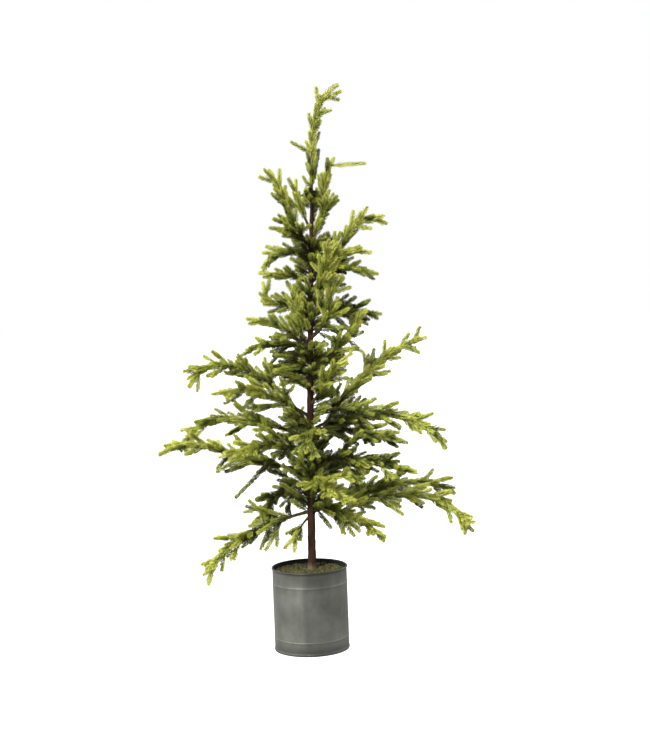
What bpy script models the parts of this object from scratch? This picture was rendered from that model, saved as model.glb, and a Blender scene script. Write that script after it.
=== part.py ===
"""A potted artificial spruce: a wire-boughed tree in a round zinc pot.

The tree is a wrapped trunk, bare boughs and masses of needle sprays.
Each bough leaves the trunk at a named height and direction.
It grows by one rule: an axis, pairs of shoots that turn round it, and a trident at its tip.
Lengths are in metres, angles in degrees, +Z is up.
The origin is the centre of the pot's flat underside.
A direction of 0 points to +X, 90 to +Y, 180 to -X and 270 to -Y.
"""
import math
import random
from collections import namedtuple

import bmesh
import bpy
from mathutils import Vector
from mathutils.bvhtree import BVHTree

GAP = 0.0003
SHARP_ANGLE = 32.0
UP = Vector((0.0, 0.0, 1.0))

# Pot
POT_HEIGHT = 0.178
POT_RADIUS = 0.0796
POT_WALL = 0.0014
POT_FLOOR = 0.002
RIM_BEAD = 0.0018
RIM_TURNS = (-50.0, 0.0, 50.0, 90.0, 140.0)
FOOT_BEAD = 0.0009
FOOT_INSET = 0.0012
FOOT_HEIGHTS = (0.0012, 0.0042, 0.0060)
BAND_PROUD = 0.0009
BAND_HALF = 0.0022
BAND_HEIGHTS = (0.028, 0.144)
POT_SIDES = 36
SEAM_SIDE = 26
SEAM_PROUD = 0.0007

# Fill and moss
FILL_TOP = 0.157
MOSS_EDGE = 0.007
MOSS_CROWN = 0.0125
MOSS_SIDES = 26
MOSS_LUMP = 0.0018
MOSS_INNER_SHARE = 0.35
MOSS_OUTER_SHARE = 0.72
MOSS_SHOULDER = 0.8
MOSS_SEED = 5

# Trunk
TRUNK_FOOT = FILL_TOP + GAP
TRUNK_TOP = 0.965
TRUNK_LEAN = 0.0355
TRUNK_BOW = 0.004
TRUNK_FOOT_RADIUS = 0.0088
TRUNK_TOP_RADIUS = 0.0030
TRUNK_TAPER = 0.6
FLARE_PROUD = 0.0065
FLARE_FADE = 0.009
FLARE_STEPS = (0.0, 0.5, 1.1, 2.0, 3.4)
TRUNK_SIDES = 8
TRUNK_RINGS = 16

# Limbs and shoots
LIMB_RADIUS = 0.0042
LIMB_TIP_RADIUS = 0.0034
LIMB_SIDES = 5
LIMB_STEP = 0.026
LINE_STEP = 0.004
LATE_BEND = 1.7
STEEP = 0.2
CORE_RADIUS = 0.0058
TOOTH_RADIUS = 0.0102
STEM_RADIUS = 0.0038
ROOT_RADIUS = 0.0012
TOOTH_PITCH = 0.032
TOOTH_LEAN = 0.66
TIP_FINENESS = 0.35
PAIR_SPACING = 0.058
PAIR_TURN = 90.0
SHOOT_FOOT_ANGLE = 48.0
SHOOT_TIP_ANGLE = 28.0
SHOOT_FLAT = 0.85
SHOOT_TAPER = 0.62
SHOOT_SHORTEST = 0.030
PLACE_JITTER = 0.15
REACH_JITTER = 0.15
TURN_JITTER = 20.0
SEED_TURN = 40.0
TIP_CLEAR = 0.6
STRAIGHT_STEPS = 4
TRIDENT_SHARES = (0.84, 0.88)
TRIDENT_TURN = 0.3
TRIDENT_LENGTH = 0.46
TRIDENT_ANGLE = 30.0
SWELL = 0.0006
SLIVER = 0.00001

Taken = namedtuple("Taken", "owner tree centre reach")
Bough = namedtuple("Bough", "name height heading length rise middle end turn bare side seed")
Fork = namedtuple("Fork", "bough share heading rise length")

# Long boughs: a bare limb, then a mass that grows on from its tip.
LONG_BOUGHS = (
    Bough("low_left", 0.294, 190, 0.266, -10, -25, -80, 0, 0.12, 0.074, 11),
    Bough("low_right", 0.316, 12, 0.316, 11, 6, -36, 0, 0.15, 0.080, 12),
    Bough("low_right_front", 0.296, 350, 0.360, 19, 2, -86, 4, 0.13, 0.084, 13),
    Bough("low_back_left", 0.352, 125, 0.205, 0, -26, -64, 0, 0.16, 0.088, 16),
    Bough("low_back_right", 0.352, 62, 0.268, 18, 4, -26, 0, 0.16, 0.092, 17),
    Bough("long_left", 0.386, 181, 0.318, 6, 22, -30, 0, 0.13, 0.078, 18),
    Bough("mid_front_left", 0.424, 225, 0.196, 22, 6, -24, -8, 0.16, 0.084, 19),
    Bough("mid_front_right", 0.408, 320, 0.226, 8, -4, -14, 8, 0.13, 0.092, 20),
    Bough("mid_left", 0.452, 168, 0.306, 26, 6, -84, 0, 0.15, 0.078, 22),
    Bough("high_left", 0.480, 189, 0.314, 64, 29, -68, 0, 0.28, 0.066, 24),
    Bough("high_right", 0.436, 11, 0.340, 62, 42, 10, 0, 0.18, 0.066, 25),
    Bough("drooping_right", 0.512, 351, 0.300, 2, -10, -66, 0, 0.15, 0.078, 26),
)

# Short boughs: the mass stands straight on the trunk, with a bare foot.
SHORT_BOUGHS = (
    Bough("sprig_low", 0.282, 214, 0.056, -34, -50, -62, 0, 0.26, 0.030, 41),
    Bough("low_front_right", 0.302, 318, 0.168, 4, -8, -52, 0, 0.07, 0.086, 14),
    Bough("low_front", 0.352, 276, 0.224, 24, 2, -30, 14, 0.12, 0.092, 15),
    Bough("sprig_front", 0.470, 268, 0.150, 30, -10, -60, 0, 0.12, 0.084, 42),
    Bough("mid_back", 0.425, 98, 0.252, 24, 8, -20, 0, 0.12, 0.090, 21),
    Bough("mid_back_right", 0.470, 44, 0.212, 18, 0, -14, 0, 0.12, 0.088, 23),
    Bough("mid_right_front", 0.472, 343, 0.186, 2, -10, -14, 0, 0.10, 0.078, 64),
    Bough("mid_left_upper", 0.502, 214, 0.212, 32, 24, -32, 0, 0.12, 0.078, 62),
    Bough("sprig_back_left", 0.568, 150, 0.112, 40, 6, -20, 0, 0.12, 0.040, 27),
    Bough("sprig_front_rising", 0.528, 310, 0.112, 42, 52, 30, 0, 0.14, 0.056, 44),
    Bough("sprig_back_right", 0.585, 62, 0.158, 34, 14, -8, 0, 0.12, 0.072, 45),
    Bough("sprig_right_rising", 0.606, 346, 0.150, 26, 44, 74, 0, 0.16, 0.060, 46),
    Bough("sprig_left_long", 0.632, 202, 0.146, 66, 30, -10, 0, 0.14, 0.056, 47),
    Bough("sprig_left_rising", 0.648, 210, 0.130, 62, 82, 88, 0, 0.14, 0.034, 43),
    Bough("sprig_front_mid", 0.668, 320, 0.165, 28, 80, 88, 0, 0.16, 0.062, 65),
    Bough("sprig_left_mid", 0.642, 164, 0.132, 22, 0, -34, 0, 0.14, 0.052, 63),
    Bough("sprig_back", 0.672, 98, 0.144, 38, 20, 0, 0, 0.14, 0.072, 48),
    Bough("sprig_right_level", 0.694, 8, 0.138, 34, 4, -28, 10, 0.14, 0.066, 49),
    Bough("sprig_right_down", 0.722, 42, 0.148, 14, -14, -58, 0, 0.14, 0.062, 50),
    Bough("sprig_left_hook", 0.722, 180, 0.110, 30, 4, 112, 0, 0.16, 0.040, 51),
    Bough("sprig_front_high", 0.742, 304, 0.128, 40, 64, 60, 0, 0.18, 0.054, 52),
    Bough("sprig_left_level", 0.780, 206, 0.092, 32, 12, -10, 0, 0.16, 0.040, 53),
    Bough("upper_right", 0.786, 14, 0.134, 42, 2, -44, 0, 0.14, 0.050, 28),
    Bough("sprig_left_curl", 0.824, 168, 0.106, 52, 2, -84, 0, 0.16, 0.036, 54),
    Bough("sprig_front_right_high", 0.796, 322, 0.138, 44, 20, -12, 0, 0.16, 0.056, 60),
    Bough("sprig_back_high", 0.820, 84, 0.116, 30, 12, 0, 0, 0.16, 0.046, 55),
    Bough("sprig_right_high", 0.804, 355, 0.194, 28, 60, -44, 0, 0.14, 0.050, 56),
    Bough("sprig_top_left", 0.866, 182, 0.168, 42, 76, 44, 0, 0.14, 0.046, 57),
    Bough("sprig_top_left_low", 0.858, 234, 0.110, 34, 20, -12, 0, 0.16, 0.048, 58),
    Bough("sprig_top_right", 0.885, 352, 0.150, 56, 86, 66, 0, 0.14, 0.046, 59),
    Bough("sprig_top_back", 0.898, 165, 0.088, 64, 70, 82, 0, 0.18, 0.040, 61),
)
LEADER = Bough("leader", TRUNK_TOP, 0, 0.240, 90, 84, 30, 0, 0.04, 0.032, 70)

# Single shoots that stand out by themselves, each at a share of its bough.
FORKS = (
    Fork("leader", 0.06, 40, 74, 0.080),
    Fork("leader", 0.36, 180, 30, 0.046),
    Fork("leader", 0.62, 0, 52, 0.034),
    Fork("leader", 0.77, 180, 84, 0.036),
    Fork("leader", 0.82, 0, 26, 0.042),
    Fork("sprig_top_right", 0.97, 0, 2, 0.072),
    Fork("sprig_top_right", 0.26, 0, 50, 0.050),
    Fork("sprig_top_left", 0.78, 60, 84, 0.036),
    Fork("sprig_top_left", 0.52, 180, 45, 0.040),
    Fork("sprig_left_curl", 0.22, 180, 68, 0.044),
    Fork("sprig_right_high", 0.62, 20, 80, 0.036),
    Fork("sprig_right_high", 0.66, 350, -8, 0.034),
    Fork("sprig_right_down", 0.48, 0, 30, 0.044),
    Fork("sprig_right_rising", 0.62, 0, -43, 0.045),
    Fork("sprig_right_rising", 0.34, 340, 68, 0.060),
    Fork("sprig_right_level", 0.32, 340, -40, 0.052),
    Fork("sprig_front_mid", 0.13, 350, 4, 0.060),
    Fork("sprig_front_high", 0.30, 0, 5, 0.052),
    Fork("sprig_left_mid", 0.22, 200, -12, 0.052),
    Fork("sprig_left_mid", 0.30, 190, -42, 0.050),
    Fork("sprig_back_left", 0.05, 190, 5, 0.046),
    Fork("sprig_front_rising", 0.80, 0, 40, 0.056),
    Fork("sprig_front_rising", 0.06, 350, 32, 0.046),
    Fork("high_right", 0.60, 30, 78, 0.040),
    Fork("high_right", 0.58, 340, 18, 0.034),
    Fork("high_right", 0.71, 30, 84, 0.034),
    Fork("high_right", 0.70, 350, 3, 0.034),
    Fork("drooping_right", 0.72, 0, 20, 0.038),
    Fork("mid_front_right", 0.50, 350, 8, 0.064),
    Fork("mid_front_right", 0.42, 345, -24, 0.062),
    Fork("mid_front_right", 0.66, 350, 0, 0.054),
    Fork("low_right", 0.76, 20, 42, 0.034),
    Fork("low_right_front", 0.38, 340, -34, 0.064),
    Fork("low_right_front", 0.55, 340, -38, 0.040),
    Fork("low_right_front", 0.80, 340, -78, 0.036),
    Fork("low_front_right", 0.45, 320, -38, 0.056),
    Fork("low_front_right", 0.30, 330, -60, 0.052),
    Fork("low_front_right", 0.12, 345, -32, 0.060),
    Fork("low_front_right", 0.03, 310, -38, 0.055),
    Fork("mid_left", 0.56, 180, 35, 0.036),
    Fork("mid_left", 0.72, 190, -45, 0.036),
    Fork("long_left", 0.44, 200, -25, 0.060),
    Fork("mid_front_left", 0.34, 195, -42, 0.145),
    Fork("low_left", 0.14, 195, 18, 0.046),
    Fork("low_left", 0.30, 200, -62, 0.054),
    Fork("low_left", 0.36, 180, 80, 0.042),
    Fork("low_left", 0.40, 190, -42, 0.050),
    Fork("low_left", 0.52, 180, 6, 0.036),
    Fork("low_left", 0.74, 200, -80, 0.036),
)


def clear_scene():
    """Start from nothing."""
    for thing in list(bpy.data.objects):
        bpy.data.objects.remove(thing, do_unlink=True)


def make_material(name, color, roughness, metallic=0.0):
    """One Principled material."""
    material = bpy.data.materials.new(name)
    material.use_nodes = True
    shader = material.node_tree.nodes["Principled BSDF"]
    shader.inputs["Base Color"].default_value = (*color, 1.0)
    shader.inputs["Roughness"].default_value = roughness
    shader.inputs["Metallic"].default_value = metallic
    return material


def add_object(name, bm, material):
    """Turn a bmesh into a named object with a material."""
    bmesh.ops.recalc_face_normals(bm, faces=bm.faces)
    mesh = bpy.data.meshes.new(name)
    bm.to_mesh(mesh)
    bm.free()
    thing = bpy.data.objects.new(name, mesh)
    bpy.context.collection.objects.link(thing)
    mesh.materials.append(material)
    mesh.shade_smooth()
    mesh.set_sharp_from_angle(angle=math.radians(SHARP_ANGLE))
    return thing


def bridge(bm, lower, upper):
    """Join two rings of the same count with triangles or quads."""
    count = len(lower)
    for index in range(count):
        after = (index + 1) % count
        bm.faces.new((lower[index], lower[after], upper[after], upper[index]))


def turned(bm, rings):
    """Join a list of rings, each a list of points, and cap both ends flat."""
    made = [[bm.verts.new(point) for point in ring] for ring in rings]
    for lower, upper in zip(made, made[1:]):
        bridge(bm, lower, upper)
    bm.faces.new(made[0])
    bm.faces.new(made[-1])
    return made


def circle(radius, height, sides, centre=(0.0, 0.0)):
    """Points round a level circle; radius is a number or a function of the side."""
    points = []
    for side in range(sides):
        angle = 2.0 * math.pi * side / sides
        reach = radius(side) if callable(radius) else radius
        points.append(Vector((centre[0] + reach * math.cos(angle),
                              centre[1] + reach * math.sin(angle), height)))
    return points


def pot_profile():
    """Outer radius and height pairs from the foot up to the rolled rim."""
    low, high, end = FOOT_HEIGHTS
    profile = [(POT_RADIUS - FOOT_INSET, 0.0), (POT_RADIUS + FOOT_BEAD, low),
               (POT_RADIUS + FOOT_BEAD, high), (POT_RADIUS, end)]
    for height in BAND_HEIGHTS:
        profile += [(POT_RADIUS, height - BAND_HALF), (POT_RADIUS + BAND_PROUD, height),
                    (POT_RADIUS, height + BAND_HALF)]
    bead = POT_HEIGHT - RIM_BEAD
    profile.append((POT_RADIUS, bead - RIM_BEAD))
    for turn in RIM_TURNS:
        angle = math.radians(turn)
        profile.append((POT_RADIUS + RIM_BEAD * math.cos(angle), bead + RIM_BEAD * math.sin(angle)))
    return profile


def make_pot(material):
    """A thin-walled cylinder with a rolled rim, two bands, a lap seam and a flat floor."""
    def with_seam(radius):
        return lambda side: radius + (SEAM_PROUD if side == SEAM_SIDE else 0.0)

    inner = POT_RADIUS - POT_WALL
    rings = [circle(with_seam(radius), height, POT_SIDES) for radius, height in pot_profile()]
    rings.append(circle(inner, POT_HEIGHT - 2.0 * RIM_BEAD, POT_SIDES))
    rings.append(circle(inner, POT_FLOOR, POT_SIDES))
    bm = bmesh.new()
    turned(bm, rings)
    return add_object("pot", bm, material)


def make_fill(material):
    """The weighting that fills the pot up to the moss."""
    radius = POT_RADIUS - POT_WALL - GAP
    bm = bmesh.new()
    turned(bm, [circle(radius, POT_FLOOR + GAP, POT_SIDES), circle(radius, FILL_TOP, POT_SIDES)])
    return add_object("fill", bm, material)


def make_moss(material):
    """A low lumpy ring of moss between the pot's wall and the trunk's foot."""
    rng = random.Random(MOSS_SEED)
    foot = trunk_centre(TRUNK_FOOT)
    hole = trunk_radius(TRUNK_FOOT) + GAP
    outer = (POT_RADIUS - POT_WALL - GAP) * math.cos(math.pi / POT_SIDES)
    base = FILL_TOP + GAP

    def ring(share, height, lump):
        points = []
        for side in range(MOSS_SIDES):
            angle = 2.0 * math.pi * side / MOSS_SIDES
            way = Vector((math.cos(angle), math.sin(angle), 0.0))
            inner_point = Vector((foot.x, foot.y, 0.0)) + way * hole
            point = inner_point.lerp(way * outer, share)
            point.z = base + height + rng.uniform(-lump, lump)
            points.append(point)
        return points

    rings = [ring(0.0, 0.0, 0.0), ring(0.0, MOSS_CROWN, 0.0),
             ring(MOSS_INNER_SHARE, MOSS_CROWN, MOSS_LUMP),
             ring(MOSS_OUTER_SHARE, MOSS_CROWN * MOSS_SHOULDER, MOSS_LUMP),
             ring(1.0, MOSS_EDGE, 0.0), ring(1.0, 0.0, 0.0)]
    bm = bmesh.new()
    made = [[bm.verts.new(point) for point in points] for points in rings]
    for lower, upper in zip(made, made[1:] + made[:1]):
        bridge(bm, lower, upper)
    return add_object("moss", bm, material)


def trunk_centre(height):
    """The trunk's centre line: a slight lean to +X with a faint bow."""
    share = max(0.0, min(1.0, (height - TRUNK_FOOT) / (TRUNK_TOP - TRUNK_FOOT)))
    bow = TRUNK_BOW * math.sin(math.pi * share)
    return Vector((TRUNK_LEAN * height - bow, 0.0, height))


def trunk_radius(height):
    """The trunk's radius, tapering to its tip and flared at its foot."""
    share = max(0.0, min(1.0, (height - TRUNK_FOOT) / (TRUNK_TOP - TRUNK_FOOT)))
    stem = TRUNK_TOP_RADIUS + (TRUNK_FOOT_RADIUS - TRUNK_TOP_RADIUS) * (1.0 - share) ** TRUNK_TAPER
    return stem + FLARE_PROUD * math.exp(-(height - TRUNK_FOOT) / FLARE_FADE)


def trunk_mesh():
    """The whole trunk from its flat cut on the fill to its tip under the leader."""
    heights = [TRUNK_FOOT + FLARE_FADE * step for step in FLARE_STEPS]
    first = heights[-1]
    heights += [first + (TRUNK_TOP - first) * (step + 1) / TRUNK_RINGS for step in range(TRUNK_RINGS)]
    rings = []
    for height in heights:
        centre = trunk_centre(height)
        rings.append(circle(trunk_radius(height), height, TRUNK_SIDES, (centre.x, centre.y)))
    bm = bmesh.new()
    turned(bm, rings)
    return bm


def rising_way(heading, rise):
    """The direction of a heading that rises by an angle."""
    turn = math.radians(heading)
    pitch = math.radians(rise)
    return Vector((math.cos(pitch) * math.cos(turn), math.cos(pitch) * math.sin(turn), math.sin(pitch)))


def bough_way(bough, share):
    """The direction of a bough at a share of its length; its outer half bends late."""
    if share < 0.5:
        rise = bough.rise + (bough.middle - bough.rise) * 2.0 * share
    else:
        rise = bough.middle + (bough.end - bough.middle) * (2.0 * share - 1.0) ** LATE_BEND
    return rising_way(bough.heading + bough.turn * share, rise)


def bough_line(bough):
    """Points along a bough's centre line, a small step apart, from the trunk's surface."""
    if bough is LEADER:
        point = trunk_centre(TRUNK_TOP) + UP * GAP
    else:
        outward = rising_way(bough.heading, 0.0)
        point = trunk_centre(bough.height) + outward * (trunk_radius(bough.height) + 2.0 * GAP)
    count = max(2, round(bough.length / LINE_STEP))
    line = [point.copy()]
    for index in range(count):
        point = point + bough_way(bough, (index + 0.5) / count) * (bough.length / count)
        line.append(point.copy())
    return line


def along(line, share):
    """A point at a share of a finely stepped line, and the direction there."""
    place = max(0.0, min(1.0, share)) * (len(line) - 1)
    index = min(int(place), len(line) - 2)
    point = line[index].lerp(line[index + 1], place - index)
    return point, (line[index + 1] - line[index]).normalized()


def cut(line, start, end):
    """The stretch of a line between two shares."""
    count = max(2, round((end - start) * (len(line) - 1)))
    return [along(line, start + (end - start) * step / count)[0] for step in range(count + 1)]


def line_length(line):
    """The length of a line of points."""
    return sum((after - before).length for before, after in zip(line, line[1:]))


def side_pair(way):
    """Two directions square to a way: level to its side, and over it."""
    level = way.cross(UP)
    if level.length < STEEP:
        level = way.cross(Vector((0.0, 1.0, 0.0)))
    level.normalize()
    return level, level.cross(way).normalized()


def ring_round(point, way, radius, sides, twist=0.0):
    """A ring of points round a way."""
    level, over = side_pair(way)
    points = []
    for side in range(sides):
        angle = 2.0 * math.pi * (side + twist) / sides
        points.append(point + (level * math.cos(angle) + over * math.sin(angle)) * radius)
    return points


def lie_against(ring, point, way, outward):
    """Slide a foot ring along its way until it lies flat against the trunk."""
    return [spot - way * ((spot - point).dot(outward) / way.dot(outward)) for spot in ring]


def limb_mesh(line, outward):
    """A tapering limb whose foot lies flat against the trunk."""
    count = max(2, round(line_length(line) / LIMB_STEP))
    rings = []
    for step in range(count + 1):
        share = step / count
        point, way = along(line, share)
        radius = LIMB_RADIUS + (LIMB_TIP_RADIUS - LIMB_RADIUS) * share
        ring = ring_round(point, way, radius, LIMB_SIDES)
        if step == 0:
            ring = lie_against(ring, point, way, outward)
        rings.append(ring)
    bm = bmesh.new()
    turned(bm, rings)
    return bm


def toothed_shoot(line, foot, bare=0.0, outward=None, swell=0.0):
    """A three-sided core whose rings stand out in turn like whorls of needles."""
    length = line_length(line)
    whorls = max(1, round(length * (1.0 - bare) / TOOTH_PITCH))
    spots = [(0.0, foot + swell, 0)]
    if bare:
        spots.append((bare, foot + swell, 0))
    for whorl in range(whorls):
        fine = 1.0 - TIP_FINENESS * whorl / whorls
        start = bare + (1.0 - bare) * whorl / whorls
        span = (1.0 - bare) / whorls
        spots.append((start + span * TOOTH_LEAN, TOOTH_RADIUS * fine + swell, whorl + 1))
        if whorl + 1 < whorls:
            spots.append((start + span, CORE_RADIUS * fine + swell, whorl))
    bm = bmesh.new()
    made = []
    for share, radius, twist in spots:
        point, way = along(line, share)
        ring = ring_round(point, way, radius, 3, 0.5 * twist)
        if outward and share == 0.0:
            ring = lie_against(ring, point, way, outward)
        made.append([bm.verts.new(spot) for spot in ring])
    for lower, upper in zip(made, made[1:]):
        zigzag(bm, lower, upper)
    bm.faces.new(made[0])
    tip = bm.verts.new(line[-1])
    for index in range(3):
        bm.faces.new((made[-1][index], made[-1][(index + 1) % 3], tip))
    bmesh.ops.recalc_face_normals(bm, faces=bm.faces)
    return bm


def zigzag(bm, lower, upper):
    """Join two three-point rings by triangles, each lower side to the upper corner that faces it."""
    lower_middle = (lower[0].co + lower[1].co + lower[2].co) / 3.0
    upper_middle = (upper[0].co + upper[1].co + upper[2].co) / 3.0
    facing = lower[0].co + lower[1].co - 2.0 * lower_middle
    start = max(range(3), key=lambda index: facing.dot(upper[index].co - upper_middle))
    for index in range(3):
        here = upper[(start + index) % 3]
        ahead = upper[(start + index + 1) % 3]
        bm.faces.new((lower[index], lower[(index + 1) % 3], here))
        bm.faces.new((lower[(index + 1) % 3], ahead, here))


def room(owner, bm):
    """The space that a solid takes, for the clearance test; the mesh is freed."""
    low = Vector([min(vert.co[axis] for vert in bm.verts) for axis in range(3)])
    high = Vector([max(vert.co[axis] for vert in bm.verts) for axis in range(3)])
    tree = BVHTree.FromBMesh(bm)
    bm.free()
    return Taken(owner, tree, (low + high) / 2.0, (high - low).length / 2.0)


def is_clear(candidate, taken):
    """Whether a solid touches nothing that another node owns."""
    for other in taken:
        if other.owner == candidate.owner:
            continue
        if (other.centre - candidate.centre).length > other.reach + candidate.reach:
            continue
        if candidate.tree.overlap(other.tree):
            return False
    return True


def straight(point, way, length):
    """A straight line of points for a shoot."""
    return [point + way * length * step / STRAIGHT_STEPS for step in range(STRAIGHT_STEPS + 1)]


def leaning(way, turn, angle):
    """A way leant off an axis by an angle, towards a turn round it."""
    level, over = side_pair(way)
    lean = (level * math.cos(turn) + over * math.sin(turn) * SHOOT_FLAT).normalized()
    return (way * math.cos(angle) + lean * math.sin(angle)).normalized()


def mass_shoots(bough):
    """The shoots of a mass, by the rule: its forks, pairs that turn about, then a trident."""
    rng = random.Random(bough.seed)
    line = bough_line(bough)
    shoots = []
    for fork in FORKS:
        if fork.bough == bough.name:
            point = along(line, fork.share)[0]
            shoots.append(straight(point, rising_way(fork.heading, fork.rise), fork.length))
    if bough is LEADER:
        return shoots
    count = max(1, round(line_length(line) * (1.0 - bough.bare) / PAIR_SPACING))
    for pair in range(count):
        share = (pair + 0.5 + rng.uniform(-PLACE_JITTER, PLACE_JITTER)) / (count + TIP_CLEAR)
        point, way = along(line, bough.bare + (1.0 - bough.bare) * share)
        angle = math.radians(SHOOT_FOOT_ANGLE + (SHOOT_TIP_ANGLE - SHOOT_FOOT_ANGLE) * share)
        for side in range(2):
            turn = math.radians(PAIR_TURN * pair + 180.0 * side + SEED_TURN * bough.seed
                                + rng.uniform(-TURN_JITTER, TURN_JITTER))
            reach = bough.side * (1.0 - SHOOT_TAPER * share)
            reach = max(SHOOT_SHORTEST, reach * rng.uniform(1.0 - REACH_JITTER, 1.0 + REACH_JITTER))
            shoots.append(straight(point, leaning(way, turn, angle), reach))
    for side, share in enumerate(TRIDENT_SHARES):
        point, way = along(line, bough.bare + (1.0 - bough.bare) * share)
        out = leaning(way, TRIDENT_TURN + math.pi * side, math.radians(TRIDENT_ANGLE))
        shoots.append(straight(point, out, max(SHOOT_SHORTEST, bough.side * TRIDENT_LENGTH)))
    return shoots


def unite(name, meshes, material):
    """One Boolean union of every shoot of a mass, applied."""
    body = add_object(name, meshes[0], material)
    group = bpy.data.collections.new(name + "_shoots")
    bpy.context.scene.collection.children.link(group)
    for index, bm in enumerate(meshes[1:]):
        mesh = bpy.data.meshes.new(f"{name}_shoot_{index}")
        bm.to_mesh(mesh)
        bm.free()
        group.objects.link(bpy.data.objects.new(mesh.name, mesh))
    union = body.modifiers.new("union", "BOOLEAN")
    union.operation = "UNION"
    union.operand_type = "COLLECTION"
    union.collection = group
    graph = bpy.context.evaluated_depsgraph_get()
    joined = bpy.data.meshes.new_from_object(body.evaluated_get(graph))
    body.modifiers.clear()
    body.data = joined
    joined.name = name
    for thing in list(group.objects):
        bpy.data.objects.remove(thing, do_unlink=True)
    bpy.data.collections.remove(group)
    drop_scraps(joined)
    joined.shade_flat()
    return body


def drop_scraps(mesh):
    """Keep only the largest joined body of a mesh, and close its slivers."""
    bm = bmesh.new()
    bm.from_mesh(mesh)
    unseen = set(bm.verts)
    islands = []
    while unseen:
        queue = [unseen.pop()]
        island = set(queue)
        while queue:
            for edge in queue.pop().link_edges:
                for vert in edge.verts:
                    if vert in unseen:
                        unseen.discard(vert)
                        island.add(vert)
                        queue.append(vert)
        islands.append(island)
    islands.sort(key=len, reverse=True)
    for island in islands[1:]:
        bmesh.ops.delete(bm, geom=list(island), context="VERTS")
    bmesh.ops.triangulate(bm, faces=bm.faces[:])
    bmesh.ops.dissolve_degenerate(bm, dist=SLIVER, edges=bm.edges[:])
    bmesh.ops.triangulate(bm, faces=bm.faces[:])
    bm.to_mesh(mesh)
    bm.free()


def limb_and_axis(bough):
    """A bough's bare limb, where it has one, and the axis of its mass."""
    line = bough_line(bough)
    if bough not in LONG_BOUGHS:
        return None, line
    return cut(line, 0.0, bough.bare), cut(line, bough.bare + GAP / bough.length, 1.0)


def outward_way(bough):
    """The level way that a bough heads off in; the leader has none."""
    if bough is LEADER:
        return None
    return rising_way(bough.heading, 0.0)


def mass_core(bough, axis):
    """The toothed core along a mass's axis."""
    if bough in LONG_BOUGHS:
        return toothed_shoot(axis, STEM_RADIUS)
    return toothed_shoot(axis, STEM_RADIUS, bough.bare, outward_way(bough))


def make_tree(bark, needles):
    """The trunk, the boughs' limbs and the masses, each clear of the others."""
    taken = [room("trunk", trunk_mesh())]
    add_object("trunk", trunk_mesh(), bark)
    masses = []
    for bough in LONG_BOUGHS + SHORT_BOUGHS + (LEADER,):
        limb, axis = limb_and_axis(bough)
        if limb:
            name = "bough_" + bough.name
            add_object(name, limb_mesh(limb, outward_way(bough)), bark)
            taken.append(room(name, limb_mesh(limb, outward_way(bough))))
        taken.append(room(bough.name, mass_core(bough, axis)))
        masses.append((bough, axis))
    for bough, axis in masses:
        kept = [mass_core(bough, axis)]
        for shoot in mass_shoots(bough):
            candidate = room(bough.name, toothed_shoot(shoot, ROOT_RADIUS, swell=SWELL))
            if is_clear(candidate, taken):
                taken.append(candidate)
                kept.append(toothed_shoot(shoot, ROOT_RADIUS))
        unite("foliage_" + bough.name, kept, needles)


def main():
    clear_scene()
    zinc = make_material("zinc", (0.13, 0.13, 0.11), 0.55, 0.6)
    stone = make_material("fill", (0.20, 0.19, 0.17), 0.9)
    moss = make_material("moss", (0.07, 0.07, 0.02), 0.95)
    bark = make_material("bark", (0.07, 0.035, 0.022), 0.85)
    needles = make_material("needles", (0.12, 0.15, 0.03), 0.6)
    make_pot(zinc)
    make_fill(stone)
    make_moss(moss)
    make_tree(bark, needles)


main()
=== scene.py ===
"""Looks of a potted artificial spruce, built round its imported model.

The tree grows by the part's own rule: boughs from a table, side shoots in pairs that turn about,
then finer sprays on every shoot, each dressed with needles.
Lengths are in metres, angles in degrees, +Z is up.
A direction of 0 points to +X, 90 to +Y, 180 to -X and 270 to -Y, which is the front.
"""
import math
import random
from collections import namedtuple

import bpy
import numpy as np
from mathutils import Matrix, Vector, noise


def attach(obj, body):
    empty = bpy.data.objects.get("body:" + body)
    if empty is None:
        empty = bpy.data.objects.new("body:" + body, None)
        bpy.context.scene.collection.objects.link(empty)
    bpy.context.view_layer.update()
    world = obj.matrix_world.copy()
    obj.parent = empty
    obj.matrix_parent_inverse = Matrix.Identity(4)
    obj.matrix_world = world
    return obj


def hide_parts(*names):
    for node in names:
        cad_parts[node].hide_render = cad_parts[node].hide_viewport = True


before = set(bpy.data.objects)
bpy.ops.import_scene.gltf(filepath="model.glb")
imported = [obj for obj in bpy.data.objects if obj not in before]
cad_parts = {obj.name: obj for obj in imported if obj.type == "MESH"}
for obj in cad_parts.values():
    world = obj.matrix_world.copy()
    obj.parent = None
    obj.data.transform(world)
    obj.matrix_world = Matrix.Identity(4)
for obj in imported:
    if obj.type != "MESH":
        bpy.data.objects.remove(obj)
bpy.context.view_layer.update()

BODY = "root"

# Camera and light
CAMERA_PLACE = (0.0004, -2.9765, 0.7954)
CAMERA_TURNS = (0.918, 4.040, -2.050)
LENS_MM = 67.608
SENSOR_MM = 36.0
WORLD_LEVEL = 0.74
BACKDROP_LEVEL = 1.0
WHITE = (1.0, 1.0, 1.0, 1.0)
SUNS = (("key", 6.0, 26.0, (-0.62, -1.00, 1.00)), ("left", 1.7, 70.0, (-1.0, 0.35, 0.45)),
        ("right", 1.3, 70.0, (1.0, 0.35, 0.45)))
FLOOR_SIDE = 40.0
FLOOR_GLOW = 1.1
FLOOR_CLOUDS = (3.0,)
FLOOR_TONES = ((0.28,) * 3, (0.30,) * 3)

# Materials: a pattern is a noise's scale, detail and stretch, and tones lie a spread off its middle.
SOFT_SPREAD = 0.15
BARK_SPREAD = 0.18
WIDE_SPREAD = 0.2
ROUGH_BUMP = 0.0006
MATT = 0.9

# Pot
POT_HEIGHT = 0.178
POT_RADIUS = 0.0796
POT_WALL = 0.0014
POT_FLOOR = 0.002
POT_SIDES = 180
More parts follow.
